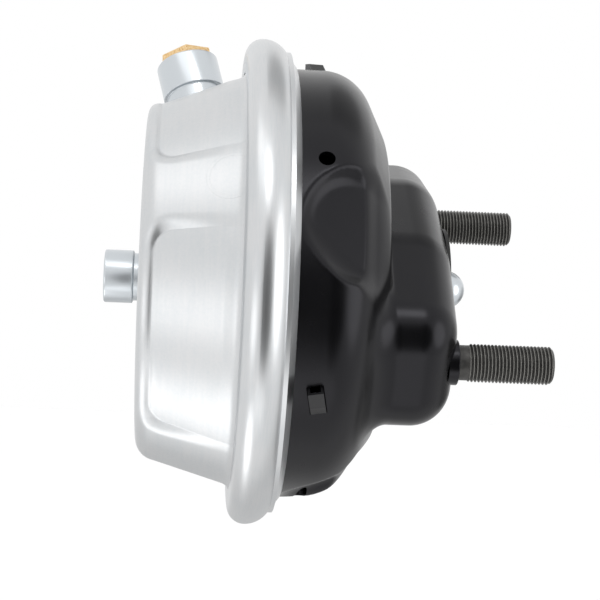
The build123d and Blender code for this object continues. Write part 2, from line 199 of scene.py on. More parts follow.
def resampled(points, count):
    """count points spread evenly along a line of points."""
    lengths = length_along(points)
    at = np.linspace(0, lengths[-1], count)
    return np.stack([np.interp(at, lengths, points[:, k]) for k in (0, 1)], axis=1)


def unit_rows(vectors):
    """Rows of vectors, each made one long."""
    return vectors / np.linalg.norm(vectors, axis=1)[:, None]


def turn_angles(count):
    """Angles of count columns that go once round the axis."""
    return np.arange(count) * 2 * math.pi / count


def moved(points, place):
    """Points carried by a matrix."""
    return points @ np.array(place.to_3x3()).T + np.array(place.translation)


def last_inside(inside, low, high, halvings=30):
    """Furthest values between low and high for which inside holds, found by halving."""
    for _ in range(halvings):
        middle = (low + high) / 2
        here = inside(middle)
        low = np.where(here, middle, low)
        high = np.where(here, high, middle)
    return low


def clean_mesh(mesh):
    """Merges points that lie together, as on the axis, and turns the faces outwards."""
    work = bmesh.new()
    work.from_mesh(mesh)
    bmesh.ops.remove_doubles(work, verts=work.verts, dist=1e-6)
    bmesh.ops.dissolve_degenerate(work, dist=1e-7, edges=work.edges)
    bmesh.ops.recalc_face_normals(work, faces=work.faces)
    for face in work.faces:
        face.smooth = True
    work.to_mesh(mesh)
    work.free()


def make_piece(name, points, faces, material, body="chamber", sharp=40, clean=True):
    """A mesh object from points in millimetres, smooth except at edges sharper than an angle in degrees."""
    mesh = bpy.data.meshes.new(name)
    mesh.from_pydata((np.asarray(points, float) * MM).tolist(), [], faces)
    mesh.update()
    mesh.validate()
    mesh.polygons.foreach_set("use_smooth", [True] * len(mesh.polygons))
    mesh.materials.append(material)
    if clean:
        clean_mesh(mesh)
    mesh.set_sharp_from_angle(angle=math.radians(sharp))
    piece = bpy.data.objects.new(name, mesh)
    bpy.context.scene.collection.objects.link(piece)
    if body:
        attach(piece, body)
    return piece


def grid_faces(rows, columns, closed_rows=False):
    """Quads of a grid whose columns run round and close; closed_rows joins the last row to the first."""
    faces = []
    for i in range(rows if closed_rows else rows - 1):
        below = ((i + 1) % rows) * columns
        for j in range(columns):
            k = (j + 1) % columns
            faces.append((i * columns + j, i * columns + k, below + k, below + j))
    return faces


def round_axis(x, r, angle):
    """Points at (x, radius) and an angle from -Y towards +Z."""
    return np.stack(np.broadcast_arrays(x, -r * np.cos(angle), r * np.sin(angle)), axis=-1)


def turned_piece(name, corners, material, body="chamber", columns=128, place=None, sharp=40, steps=8):
    """A closed profile of (x, r[, radius]) corners turned about X, then moved by place."""
    profile = rounded(list(corners) + [corners[0]], steps)[:-1]
    r = np.maximum(profile[:, 1:], 0.0)
    points = round_axis(profile[:, :1], r, turn_angles(columns)[None, :]).reshape(-1, 3)
    if place is not None:
        points = moved(points, place)
    faces = grid_faces(len(profile), columns, closed_rows=True)
    return make_piece(name, points, faces, material, body, sharp)


def cut(piece, cutters):
    """Cuts closed meshes out of a piece."""
    for cutter in cutters:
        modifier = piece.modifiers.new("cut", "BOOLEAN")
        modifier.operation = "DIFFERENCE"
        modifier.solver = "MANIFOLD"
        modifier.object = cutter
    graph = bpy.context.evaluated_depsgraph_get()
    mesh = bpy.data.meshes.new_from_object(piece.evaluated_get(graph))
    piece.modifiers.clear()
    piece.data = mesh
    for cutter in cutters:
        bpy.data.objects.remove(cutter)


def cutter_bar(half_x, half_y, place, columns=4):
    """A bar to cut with: a rectangle for 4 columns, and an ellipse for more, along the local Z axis."""
    reach = 12                      # to each side of the skin that it cuts
    turn = math.pi / columns if columns == 4 else 0
    grow = math.sqrt(2) if columns == 4 else 1
    points = []
    for z in (-reach, reach):
        for j in range(columns):
            a = 2 * math.pi * j / columns + turn
            points.append(Vector((half_x * grow * math.cos(a), half_y * grow * math.sin(a), z)))
    faces = [(j, (j + 1) % columns, columns + (j + 1) % columns, columns + j) for j in range(columns)]
    faces.append(tuple(range(columns))[::-1])
    faces.append(tuple(range(columns, 2 * columns)))
    mesh = bpy.data.meshes.new("cutter")
    mesh.from_pydata([tuple((place @ p) * MM) for p in points], [], faces)
    bar = bpy.data.objects.new("cutter", mesh)
    bpy.context.scene.collection.objects.link(bar)
    return bar


def facing_out(x, radius, angle):
    """Matrix whose local Z points away from the axis, local X along the axis, at a place on a drum."""
    out = Vector((0, -math.cos(angle), math.sin(angle)))
    along = Vector((1, 0, 0))
    side = out.cross(along)
    turn = Matrix((along, side, out)).transposed().to_4x4()
    return Matrix.Translation(Vector((x, 0, 0)) + out * radius) @ turn


# ---------------------------------------------------------------------------------------------
# Materials
# ---------------------------------------------------------------------------------------------

UNROLL_R = 90                       # radius at which a streak's length round the axis is measured
CLAMP_MARK = (-95.7, -78.1, 42.0)   # middle of the round mark that a press clamp left on the cover
CLAMP_MARK_R = 10.0
CLAMP_MARK_W = 0.7                  # half the width of its line
CLAMP_MARK_H = 12.0                 # of the line, in depths of the plate's grain


def hex_colour(text):
    """Linear RGBA of an sRGB hex colour."""
    values = [int(text[i:i + 2], 16) / 255 for i in (1, 3, 5)]
    return [v / 12.92 if v <= 0.04045 else ((v + 0.055) / 1.055) ** 2.4 for v in values] + [1.0]


def set_inputs(tree, node, inputs):
    """Gives a node's inputs, by name or number, a value or another node's output."""
    for key, value in inputs.items():
        if isinstance(value, bpy.types.NodeSocket):
            tree.links.new(value, node.inputs[key])
        else:
            node.inputs[key].default_value = value


def add_node(tree, kind, inputs=None, stops=(), **settings):
    """Adds a node; settings are properties or plain inputs, stops the places and hex colours of a ramp."""
    node = tree.nodes.new(kind)
    for key, value in settings.items():
        if hasattr(node, key):
            setattr(node, key, value)
        else:
            node.inputs[key.replace("_", " ")].default_value = value
    set_inputs(tree, node, inputs or {})
    if stops:
        elements = node.color_ramp.elements
        while len(elements) < len(stops):
            elements.new(0.5)
        for element, (position, colour) in zip(elements, stops):
            element.position = position
            element.color = hex_colour(colour)
    return node


def surface(name, base, **settings):
    """A new material, its node tree and its Principled shader, with settings on the shader's own inputs."""
    material = bpy.data.materials.new(name)
    material.use_nodes = True
    material.diffuse_color = hex_colour(base)
    tree = material.node_tree
    shader = tree.nodes["Principled BSDF"]
    shader.inputs["Base Color"].default_value = hex_colour(base)
    for key, value in settings.items():
        shader.inputs[key.replace("_", " ")].default_value = value
    return material, tree, shader


def place_of(tree):
    """Position on the object, in metres, in the row frame."""
    return add_node(tree, "ShaderNodeTexCoord").outputs["Object"]


def blotches(tree, place, size_mm, detail=3.0, stretch=(1, 1, 1)):
    """Pattern of blotches about size_mm across, longer along an axis with a smaller stretch."""
    scaled = add_node(tree, "ShaderNodeVectorMath", {0: place, 1: stretch}, operation="MULTIPLY")
    pattern = add_node(tree, "ShaderNodeTexNoise", {"Vector": scaled.outputs[0]}, Scale=1 / (size_mm * MM),
                       Detail=detail)
    return pattern.outputs["Fac"]


def average(tree, *values):
    """Mean of several values."""
    total = values[0]
    for value in values[1:]:
        total = add_node(tree, "ShaderNodeMath", {0: total, 1: value}, operation="ADD").outputs[0]
    mean = add_node(tree, "ShaderNodeMath", {0: total, 1: float(len(values))}, operation="DIVIDE")
    return mean.outputs[0]


def dress(tree, shader, grain, depth_mm, **patterns):
    """Gives a shader's inputs their patterns, and its surface a grain that stands depth_mm high."""
    bump = add_node(tree, "ShaderNodeBump", {"Height": grain}, Distance=depth_mm * MM)
    patterns["Normal"] = bump.outputs["Normal"]
    set_inputs(tree, shader, {key.replace("_", " "): value for key, value in patterns.items()})


def unrolled(tree, place):
    """Position unrolled round the axis: along X, the arc at the drum's usual radius, and the radius."""
    split = add_node(tree, "ShaderNodeSeparateXYZ", {0: place})
    y, z = split.outputs["Y"], split.outputs["Z"]
    angle = add_node(tree, "ShaderNodeMath", {0: z, 1: y}, operation="ARCTAN2")
    arc = add_node(tree, "ShaderNodeMath", {0: angle.outputs[0], 1: UNROLL_R * MM}, operation="MULTIPLY")
    square = add_node(tree, "ShaderNodeCombineXYZ", {"Y": y, "Z": z})
    radius = add_node(tree, "ShaderNodeVectorMath", {0: square.outputs[0]}, operation="LENGTH")
    joined = add_node(tree, "ShaderNodeCombineXYZ",
                      {"X": split.outputs["X"], "Y": arc.outputs[0], "Z": radius.outputs["Value"]})
    return joined.outputs[0]


@functools.cache
def zinc_plated_steel():
    """Pressed sheet steel, bright zinc plated: a soft mirror with drawn streaks and clouds, and painted shade
    darkening its creases.
    """
    material, tree, shader = surface("zinc_plated_steel", colours().zinc, Metallic=1.0, Roughness=0.3)
    place = place_of(tree)
    clouds = blotches(tree, place, 24, detail=5.0)
    streaks = blotches(tree, unrolled(tree, place), 1.4, detail=4.0, stretch=(1.0, 0.06, 1.0))
    shade = average(tree, clouds, streaks, blotches(tree, place, 1.2))
    base = add_node(tree, "ShaderNodeValToRGB", {"Fac": shade},
                    stops=[(0.36, colours().zinc_dull), (0.6, colours().zinc)])
    # Painted shade: where the skin is hollow, at the foot of a pressed step, the plate is mixed towards the
    # crease shade colour.
    pointy = add_node(tree, "ShaderNodeNewGeometry").outputs["Pointiness"]
    crease = add_node(tree, "ShaderNodeMapRange", {"Value": pointy}, From_Min=0.44, From_Max=0.49,
                      To_Min=0.55, To_Max=0.0)
    mixed = add_node(tree, "ShaderNodeMix", {0: crease.outputs["Result"], 6: base.outputs["Color"],
                                             7: hex_colour(colours().zinc_crease_shade)}, data_type="RGBA")
    middle = tuple(v * MM for v in CLAMP_MARK)
    off = add_node(tree, "ShaderNodeVectorMath", {0: place, 1: middle}, operation="SUBTRACT")
    away = add_node(tree, "ShaderNodeVectorMath", {0: off.outputs[0]}, operation="LENGTH")
    mark = add_node(tree, "ShaderNodeMath", {0: away.outputs["Value"], 1: CLAMP_MARK_R * MM,
                                             2: CLAMP_MARK_W * MM}, operation="COMPARE")
    grain = add_node(tree, "ShaderNodeMath",
                     {0: mark.outputs[0], 1: CLAMP_MARK_H, 2: blotches(tree, place, 0.9, detail=2.0)},
                     operation="MULTIPLY_ADD")
    spread = add_node(tree, "ShaderNodeMapRange", {"Value": shade}, From_Min=0.35, From_Max=0.65,
                      To_Min=0.39, To_Max=0.36)
    dress(tree, shader, grain.outputs[0], 0.012, Base_Color=mixed.outputs[2],
          Roughness=spread.outputs["Result"])
    return material


@functools.cache
def rolled_zinc_steel():
    """The clamp ring: zinc plate over steel that was rolled, so its grain runs round the ring."""
    material, tree, shader = surface("rolled_zinc_steel", colours().zinc, Metallic=1.0, Roughness=0.3)
    place = place_of(tree)
    streaks = blotches(tree, unrolled(tree, place), 0.8, stretch=(1.6, 0.12, 1.6))
    shade = average(tree, blotches(tree, place, 18, detail=6.0), streaks)
    base = add_node(tree, "ShaderNodeValToRGB", {"Fac": shade},
                    stops=[(0.36, colours().zinc_dull), (0.6, colours().zinc)])
    dress(tree, shader, streaks, 0.012, Base_Color=base.outputs["Color"])
    return material


@functools.cache
def turned_steel():
    """Turned and plated bosses: an even, fine grain that softens the mirror."""
    material, tree, shader = surface("turned_zinc_steel", colours().turned, Metallic=1.0, Roughness=0.24)
    grain = blotches(tree, place_of(tree), 0.6, detail=2.0)
    dress(tree, shader, grain, 0.008)
    return material


@functools.cache
def turned_brass():
    """Brass plug, turned and sawn: matt faces with small pits, darker where the brass has tarnished."""
    material, tree, shader = surface("turned_brass", colours().brass, Metallic=0.6, Roughness=0.42)
    specks = blotches(tree, place_of(tree), 0.7, detail=4.0)
    base = add_node(tree, "ShaderNodeValToRGB", {"Fac": specks},
                    stops=[(0.28, "#a3763f"), (0.42, colours().brass), (0.72, "#f3dcb4")])
    dress(tree, shader, specks, 0.03, Base_Color=base.outputs["Color"])
    return material


@functools.cache
def black_electrocoat():
    """Satin black electrocoat over pressed steel: almost no colour of its own, soft clear reflections."""
    material, tree, shader = surface("black_electrocoat", colours().paint, Roughness=0.24, IOR=1.38)
    place = place_of(tree)
    spread = add_node(tree, "ShaderNodeMapRange", {"Value": blotches(tree, place, 18)}, From_Min=0.3,
                      From_Max=0.7, To_Min=0.22, To_Max=0.28)
    peel = blotches(tree, place, 1.4, detail=2.0)
    shader.inputs["Specular Tint"].default_value = hex_colour("#f7f6ff")
    dress(tree, shader, peel, 0.01, Roughness=spread.outputs["Result"])
    return material


@functools.cache
def phosphated_steel():
    """Phosphated and oiled bolt steel: dark brown grey, crests rubbed paler."""
    material, tree, shader = surface("phosphated_steel", colours().phosphate, Metallic=0.55, Roughness=0.42)
    place = place_of(tree)
    dark = add_node(tree, "ShaderNodeValToRGB", {"Fac": blotches(tree, place, 2.5, detail=4.0)},
                    stops=[(0.3, "#363534"), (0.7, colours().phosphate)])
    pointy = add_node(tree, "ShaderNodeNewGeometry").outputs["Pointiness"]
    worn = add_node(tree, "ShaderNodeMapRange", {"Value": pointy}, From_Min=0.5, From_Max=0.56)
    mixed = add_node(tree, "ShaderNodeMix", {0: worn.outputs["Result"], 6: dark.outputs["Color"],
                                             7: hex_colour(colours().phosphate_crest)}, data_type="RGBA")
    dress(tree, shader, blotches(tree, place, 0.5), 0.02, Base_Color=mixed.outputs[2])
    return material


@functools.cache
def soft_rubber():
    """Moulded nitrile rubber: matt black with a faint bloom."""
    material, tree, shader = surface("nitrile_rubber", colours().rubber, Roughness=0.55)
    place = place_of(tree)
    base = add_node(tree, "ShaderNodeValToRGB", {"Fac": blotches(tree, place, 6)},
                    stops=[(0.3, colours().rubber), (0.8, "#161616")])
    dress(tree, shader, blotches(tree, place, 0.8), 0.02, Base_Color=base.outputs["Color"])
    return material


@functools.cache
def black_nylon():
    """Moulded nylon: black, slightly grained by the mould."""
    material, tree, shader = surface("black_nylon", colours().plastic, Roughness=0.4)
    dress(tree, shader, blotches(tree, place_of(tree), 0.5), 0.012)
    return material


@functools.cache
def bare_steel():
    """Plain rolled steel inside the chamber, lightly oiled: a dull mirror with lines from the mill."""
    material, tree, shader = surface("bare_rolled_steel", colours().bare, Metallic=1.0, Roughness=0.38)
    grain = blotches(tree, place_of(tree), 1.0, stretch=(0.2, 1, 1))
    dress(tree, shader, grain, 0.012)
    return material


@functools.cache
def spring_coating():
    """Spring wire with a dark coating: satin, a little uneven."""
    material, tree, shader = surface("coated_spring_wire", colours().spring, Roughness=0.45)
    dress(tree, shader, blotches(tree, place_of(tree), 1.2), 0.02)
    return material


# ---------------------------------------------------------------------------------------------
# Cover
# ---------------------------------------------------------------------------------------------

COVER_BACK = -131.6                 # end plane
COVER_WALL_R = 78.0                 # where the wall line would meet the end plane
COVER_FLARE = (-91.2, 90.0)         # where the wall turns out to the flange
COVER_FLARE_ROUND = 6.0
COVER_FLANGE_BACK = -87.2
COVER_FLANGE_FRONT = -84.3
COVER_SKIN_R = 97.0                 # where the fine rows of the skin end, on the flange
COVER_ROWS = 150
FLANGE_R = 100.8                    # edge of the cover's flange and of the housing's
PANELS = ((38.5, 187.5), (212.0, 274.5), (311.5, 374.0))
PANEL_START = 2.5                   # past the corner of the end plane, along the skin
PANEL_CORNER = 9.0
PANEL_FADE = ((-124, -97), (1.0, 0.16))     # places along the axis, and the share of the depth there
PANEL_EDGE_ANGLE = 6.0              # each side of a panel's edge, where the columns lie closer together
CENTRE_R = 10.6                     # hole for the axial boss
CENTRE_LIP = ((0.5, CENTRE_R), (-1.6, CENTRE_R), (-1.6, 14.0, 0.6), (0.5, 15.2))   # from the end plane


def cover_skin(offset, angles):
    """(x, r) grids of the cover's skin, offset inside its outer one, with the pressed panels."""
    s = sizes()
    profile = resampled(rounded([
        (COVER_BACK, CENTRE_R), (COVER_BACK, COVER_WALL_R, s.cover_round), (*COVER_FLARE, COVER_FLARE_ROUND),
        (COVER_FLANGE_BACK, COVER_SKIN_R)], 16), COVER_ROWS)
    tangent = unit_rows(np.gradient(profile, axis=0))
    inward = np.stack([tangent[:, 1], -tangent[:, 0]], axis=1)
    past_corner = length_along(profile) - (COVER_WALL_R - CENTRE_R)
    before = (PANEL_START - past_corner)[:, None]
    depth = np.zeros((COVER_ROWS, len(angles)))
    for start, end in PANELS:
        middle = math.radians((start + end) / 2)
        half = math.radians((end - start) / 2)
        gap = np.abs((angles - middle + math.pi) % (2 * math.pi) - math.pi)
        over = profile[:, 1:] * (gap[None, :] - half)
        corner = np.hypot(np.maximum(over + PANEL_CORNER, 0), np.maximum(before + PANEL_CORNER, 0))
        out = corner + np.minimum(np.maximum(over, before) + PANEL_CORNER, 0) - PANEL_CORNER
        depth = np.maximum(depth, s.recess_depth * quarter_wave(np.maximum(out, 0), s.recess_edge))
    push = depth * np.interp(profile[:, 0], *PANEL_FADE)[:, None] + offset
    return profile[:, :1] + inward[:, :1] * push, profile[:, 1:] + inward[:, 1:] * push


def cover_angles():
    """Angles round the cover, closer together at the edges of the pressed panels."""
    angles = list(np.radians(np.arange(0, 360, 1.0)))
    for edge in sorted({e % 360 for panel in PANELS for e in panel}):
        near = np.arange(-PANEL_EDGE_ANGLE, PANEL_EDGE_ANGLE + 0.01, 0.25)
        angles += list(np.radians(edge + near))
    return np.unique(np.round(np.mod(angles, 2 * math.pi), 5))


def build_cover():
    """Pressed and plated cover with its panels, and the lip round the hole for the axial boss."""
    angles = cover_angles()
    x_out, r_out = cover_skin(0.0, angles)
    x_in, r_in = cover_skin(sizes().wall, angles)
    brim = [(COVER_FLANGE_BACK, FLANGE_R), (COVER_FLANGE_FRONT, FLANGE_R),
            (COVER_FLANGE_FRONT, COVER_FLARE[1])]
    x_brim, r_brim = (np.repeat(np.array(column)[:, None], len(angles), axis=1) for column in zip(*brim))
    x = np.concatenate([x_out, x_brim, x_in[::-1]])
    r = np.concatenate([r_out, r_brim, r_in[::-1]])
    points = round_axis(x, r, angles[None, :]).reshape(-1, 3)
    faces = grid_faces(len(x), len(angles), closed_rows=True)
    piece = make_piece("cover_shell", points, faces, zinc_plated_steel(), sharp=50)
    collar = turned_piece("cover_collar", [(COVER_BACK + at, *rest) for at, *rest in CENTRE_LIP],
                          zinc_plated_steel())
    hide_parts("cover")
    return piece, collar


# ---------------------------------------------------------------------------------------------
# Housing
# ---------------------------------------------------------------------------------------------

HOUSING_FLANGE_BACK = -74.4
HOUSING_FLANGE_FRONT = -71.6
SHOULDER_SLOPE = math.radians(63.6)
SHOULDER_MEET = -42.9               # where the drum line meets the shoulder cone
SHOULDER_FACE = -29.0               # flat of the shoulder round the neck
SHOULDER_FACE_ROUND = 12.0
NECK_HALF_WIDTH = 40.0
NECK_TAPER_FROM = 27.0              # along the stud line from the axis
NECK_TAPER = math.radians(15.5)
NECK_END = 76.5
NECK_CORNER = 20.0
NECK_SIDE_ROUND = 40.0              # between its side and its taper
NECK_ROOT_MORE = 6.0                # what its root's round gains at its ends
NECK_ROOT_GROWS = (62.0, 76.0)      # between these places along the stud line
SCALLOP_X = -46.0
SCALLOP_R = 21.0                    # of its floor
SCALLOP_OFFSET = 45.5               # degrees from the studs, round the axis
SCALLOP_DRAFT = math.radians(32)    # of its round wall, from square to the floor
SCALLOP_SIDE = 16.0                 # from the centre to the foot of the straight side
SCALLOP_SIDE_ANGLE = math.radians(39)
SCALLOP_SIDE_DRAFT = math.radians(55)
SCALLOP_LEAN = math.radians(21)
SCALLOP_WALL_ROUND = 8.0            # between its round wall and its straight side
SCALLOP_WALL_COSINE = 0.6           # of the angle between those two walls' normals
SCALLOP_FLOOR_ROUND = 3.0
SCALLOP_EDGE = 1.6                  # round of its edge on the drum
SCALLOP_EDGE_MORE = 8.0             # what that round gains over the shoulder
SCALLOP_EDGE_GROWS = (-46.0, -36.0)     # between these places along the axis
MOUTH_R = 22.0
BREATHER_X = -58.5
BREATHER_R = 3.4
BREATHER_ANGLES = (32, 152, 272)
VENT_X = -60.0
VENT_W = 7.0
VENT_L = 13.0
VENT_TWIST = math.radians(11)
VENT_SHIFT = 1.2
VENT_RAISED = 0.8                   # degrees round the drum
VENT_MOUTH = 3.3                    # how far the hood's mouth is carried on over the window
VENT_LIFT = 1.12
VENT_NARROW = 0.92
VENT_ANGLES = {"lower": -30.0, "top": 90.0, "rear": 222.0}
HOUSING_COLUMNS = 600
DRUM_ROWS = 12                      # from the flange to where the fan of rays starts
RAY_ROWS = 210
RAY_START = -58.0                   # on the axis, where the fan of rays that find the skin starts


def round_cut(a, b, radius, cosine=0.0):
    """Inside both a and b, with a rounded outside corner; cosine is of the angle between their normals."""
    u = radius + a
    v = radius + b
    in_corner = (u > cosine * v) & (v > cosine * u)
    reach = np.sqrt(np.maximum(u * u + v * v - 2 * u * v * cosine, 0)) / math.sqrt(1 - cosine * cosine)
    return np.where(in_corner, reach - radius, np.maximum(a, b))


def round_join(a, b, radius):
    """Inside a or b, with a rounded inside corner."""
    return -round_cut(-a, -b, radius)


def scallop_gap(x, y, z, angle, side, inset):
    """Signed distance to one scallop's space: negative inside it, over a floor that leans forward."""
    s = sizes()
    out = -y * math.cos(angle) + z * math.sin(angle)
    across = y * math.sin(angle) + z * math.cos(angle)
    dx = x - SCALLOP_X
    floor_r = s.drum_radius - s.scallop_depth - inset
    above = (out - floor_r) * math.cos(SCALLOP_LEAN) + dx * math.sin(SCALLOP_LEAN)
    ring = np.hypot(np.minimum(dx, 0), across) - (SCALLOP_R + inset + math.tan(SCALLOP_DRAFT) * above)
    slant = -dx * math.sin(SCALLOP_SIDE_ANGLE) - side * across * math.cos(SCALLOP_SIDE_ANGLE)
    straight = slant - (SCALLOP_SIDE + inset + math.tan(SCALLOP_SIDE_DRAFT) * above)
    walls = round_cut(ring * math.cos(SCALLOP_DRAFT), straight * math.cos(SCALLOP_SIDE_DRAFT),
                      SCALLOP_WALL_ROUND, SCALLOP_WALL_COSINE)
    return round_cut(walls, -above, SCALLOP_FLOOR_ROUND)


def neck_plan(along, across, inset):
    """Signed distance to the neck's outline seen along the axis: wide in the middle, tapered to the studs."""
    along = np.abs(along)
    across = np.abs(across)
    side = across - (NECK_HALF_WIDTH - inset)
    taper = (along - NECK_TAPER_FROM) * math.sin(NECK_TAPER) + side * math.cos(NECK_TAPER)
    end = along - (NECK_END - inset)
    ends = round_cut(taper, end, NECK_CORNER - inset, math.sin(NECK_TAPER))
    return round_cut(side, ends, NECK_SIDE_ROUND, math.cos(NECK_TAPER))


def stud_line(y, z):
    """Distances along the line through both studs, and across it."""
    along = -y * math.cos(STUD_ANGLE) + z * math.sin(STUD_ANGLE)
    across = y * math.sin(STUD_ANGLE) + z * math.cos(STUD_ANGLE)
    return along, across


def neck_field(x, y, z, inset):
    """Signed distance, roughly, to the skin of the neck alone."""
    along, across = stud_line(y, z)
    return round_cut(neck_plan(along, across, inset), x + inset, sizes().neck_round - inset)


def housing_field(x, y, z, inset):
    """Signed distance, roughly, to the housing's skin that lies inset inside the outer one."""
    s = sizes()
    r = np.hypot(y, z)
    drum = r - (s.drum_radius - inset)
    lean = math.cos(SHOULDER_SLOPE)
    shoulder = (x - SHOULDER_MEET) * math.sin(SHOULDER_SLOPE) + (r - s.drum_radius) * lean + inset
    body = round_cut(drum, shoulder, s.shoulder_round - inset, lean)
    face = x - SHOULDER_FACE + inset
    body = round_cut(body, face, SHOULDER_FACE_ROUND - inset, math.sin(SHOULDER_SLOPE))
    edge = SCALLOP_EDGE + SCALLOP_EDGE_MORE * smoothstep(*SCALLOP_EDGE_GROWS, x)
    for side in (1, -1):
        for turn in (0, math.pi):
            angle = STUD_ANGLE + turn + side * math.radians(SCALLOP_OFFSET)
            body = round_cut(body, -scallop_gap(x, y, z, angle, side, inset), edge)
    along, _ = stud_line(y, z)
    root = s.neck_root + NECK_ROOT_MORE * smoothstep(*NECK_ROOT_GROWS, np.abs(along))
    return round_join(body, neck_field(x, y, z, inset), root)


def find_skin(inset, directions, angles):
    """Points where rays from the axis leave the housing; directions run from radial to along the axis."""
    lean, turn = np.meshgrid(directions, angles, indexing="ij")
    ux = np.sin(lean)
    uy = -np.cos(lean) * np.cos(turn)
    uz = np.cos(lean) * np.sin(turn)

    def inside(t):
        return housing_field(RAY_START + ux * t, uy * t, uz * t, inset) < 0

    reach = last_inside(inside, 20.0, 140.0, 34)
    return np.stack([RAY_START + ux * reach, uy * reach, uz * reach], axis=-1)


def housing_skin(inset, angles):
    """Rows of points from the flange to the mouth."""
    uy, uz = -np.cos(angles), np.sin(angles)
    rows = []
    for x in np.linspace(HOUSING_FLANGE_FRONT, RAY_START, DRUM_ROWS)[:-1]:
        r = last_inside(lambda t: housing_field(x, uy * t, uz * t, inset) < 0, 60.0, 110.0)
        rows.append(round_axis(x, r, angles))
    mouth = math.atan2(-RAY_START - inset, MOUTH_R)
    directions = np.linspace(0, mouth, RAY_ROWS)
    return np.concatenate([np.stack(rows), find_skin(inset, directions, angles)])


def build_housing():
    """Pressed and painted housing with drum, scallops, shoulder, neck, mouth, vents and breather holes."""
    s = sizes()
    angles = turn_angles(HOUSING_COLUMNS)
    brim = [(HOUSING_FLANGE_BACK, s.drum_radius - s.wall), (HOUSING_FLANGE_BACK, FLANGE_R),
            (HOUSING_FLANGE_FRONT, FLANGE_R)]
    rims = np.stack([round_axis(np.full(len(angles), x), r, angles) for x, r in brim])
    points = np.concatenate([housing_skin(s.wall, angles)[::-1], rims, housing_skin(0.0, angles)])
    faces = grid_faces(len(points), len(angles), closed_rows=True)
    piece = make_piece("housing_shell", points.reshape(-1, 3), faces, black_electrocoat(),
                       sharp=60)
    cutters = []
    for angle in BREATHER_ANGLES:
        place = facing_out(BREATHER_X, s.drum_radius, math.radians(angle))
        cutters.append(cutter_bar(BREATHER_R, BREATHER_R, place, 40))
    for angle in VENT_ANGLES.values():
        cutters.append(cutter_bar(VENT_W / 2, VENT_L / 2, vent_place(angle)))
    cut(piece, cutters)
    piece.data.set_sharp_from_angle(angle=math.radians(60))
    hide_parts("housing")
    return piece


def build_neck_plate():
    """Plate inside the neck behind the mounting face, with holes for the studs."""
    gap = 0.2                       # behind the sheet
    hole_r = 8.7
    inner_r = MOUTH_R + 1
    back, front = box_mm("neck_plate")[0][0], -sizes().wall - gap
    angles = turn_angles(240)
    uy, uz = -np.cos(angles), np.sin(angles)
    rows = [round_axis(np.full(len(angles), back), inner_r, angles)]
    for x in front + (back - front) * (1 - np.cos(np.linspace(math.pi / 2, 0, 12))):
        r = last_inside(lambda t: neck_field(x, uy * t, uz * t, -front) < 0, inner_r, 110.0)
        rows.append(round_axis(x, r, angles))
    rows.append(round_axis(np.full(len(angles), front), inner_r, angles))
    faces = grid_faces(len(rows), len(angles), closed_rows=True)
    plate = make_piece("neck_plate_shaped", np.concatenate(rows), faces, bare_steel())
    holes = []
    for side in (1, -1):
        place = Matrix.Translation((-4, *stud_place(side))) @ Matrix.Rotation(math.pi / 2, 4, "Y")
        holes.append(cutter_bar(hole_r, hole_r, place, 40))
    cut(plate, holes)
    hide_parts("neck_plate")
    return plate


# ---------------------------------------------------------------------------------------------
# Clamp ring, ports, studs, vents
# ---------------------------------------------------------------------------------------------

# Back lip, crown with a small and a large round, step, then the hollow for the flanges
RING_PROFILE = (
    (-90.4, 91.8, 0.4), (-90.6, 106.7, 7.5), (-76.9, 106.7, 12.0), (-68.0, 94.6, 0.4), (-70.6, 94.6),
    (-71.2, 96.0), (-71.2, 101.4), (-87.6, 101.4), (-87.6, 91.8))
BORE_R = 3.6                        # air passage of both bosses
AXIAL_THREAD_R = 7.25
AXIAL_BOSS_R = 11.65
SIDE_PORT_ANGLE = math.radians(113)
SIDE_PORT_LEAN = math.radians(14)   # from square to the chamber's axis, towards the end plane
SIDE_PORT_X = -109.6
LAND_R = 91.0                       # of the cover's wall between the panels, at the back of its flange
LAND_SLOPE = math.radians(19)
SIDE_BOSS_REACH = 26.2
SIDE_BOSS_R = 14.3
SIDE_BOSS_NECK_R = 12.9
SIDE_THREAD_R = 7.6
SEAL_INNER_R = 7.8
SEAL_OUTER_R = 10.2
SEAL_T = 0.6
PLUG_HALF_FLAT = 11.0
PLUG_HEAD_T = 3.4
PLUG_BREAK = 0.3                    # bevel of the hexagon's sawn end
STUD_HEAD_R = 13.5
STUD_HEAD_T = 7.0
STUD_HEAD_BREAK = 0.9
STUD_PLAIN_R = 7.35                 # of the stretch between the mounting face and the thread
STUD_POINT = 1.3                    # bevel of its tip
THREAD_START = 5.6
THREAD_ROOT = 0.14                  # half of the flat at its root, as a share of half the pitch
THREAD_FLANK = 0.72                 # one flank, as a share of half the pitch
COLLAR_R = 9.5
COLLAR_BORE_R = 8.02
COLLAR_TOP = 1.5                    # above the mounting face
COLLAR_ROUND = 0.5


def build_clamp_ring():
    """Rolled ring round both flanges."""
    ring = turned_piece("rolled_clamp_ring", RING_PROFILE, rolled_zinc_steel(), columns=288,
                        steps=14)
    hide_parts("clamp_ring")
    return ring


def build_axial_port():
    """Turned boss of the supply port, with a weld groove and a tapped hole."""
    back = box_mm("axial_port_boss")[0][0]
    boss = turned_piece("supply_boss", [
        (-127.0, BORE_R), (-127.0, 10.5), (-135.2, 10.5), (-135.6, 11.0), (-135.6, AXIAL_BOSS_R, 0.5),
        (back, AXIAL_BOSS_R, 0.9), (back, 8.2), (back + 1.0, AXIAL_THREAD_R), (back + 11.5, AXIAL_THREAD_R),
        (back + 11.5, BORE_R)], turned_steel(), columns=96)
    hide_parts("axial_port_boss")
    return boss


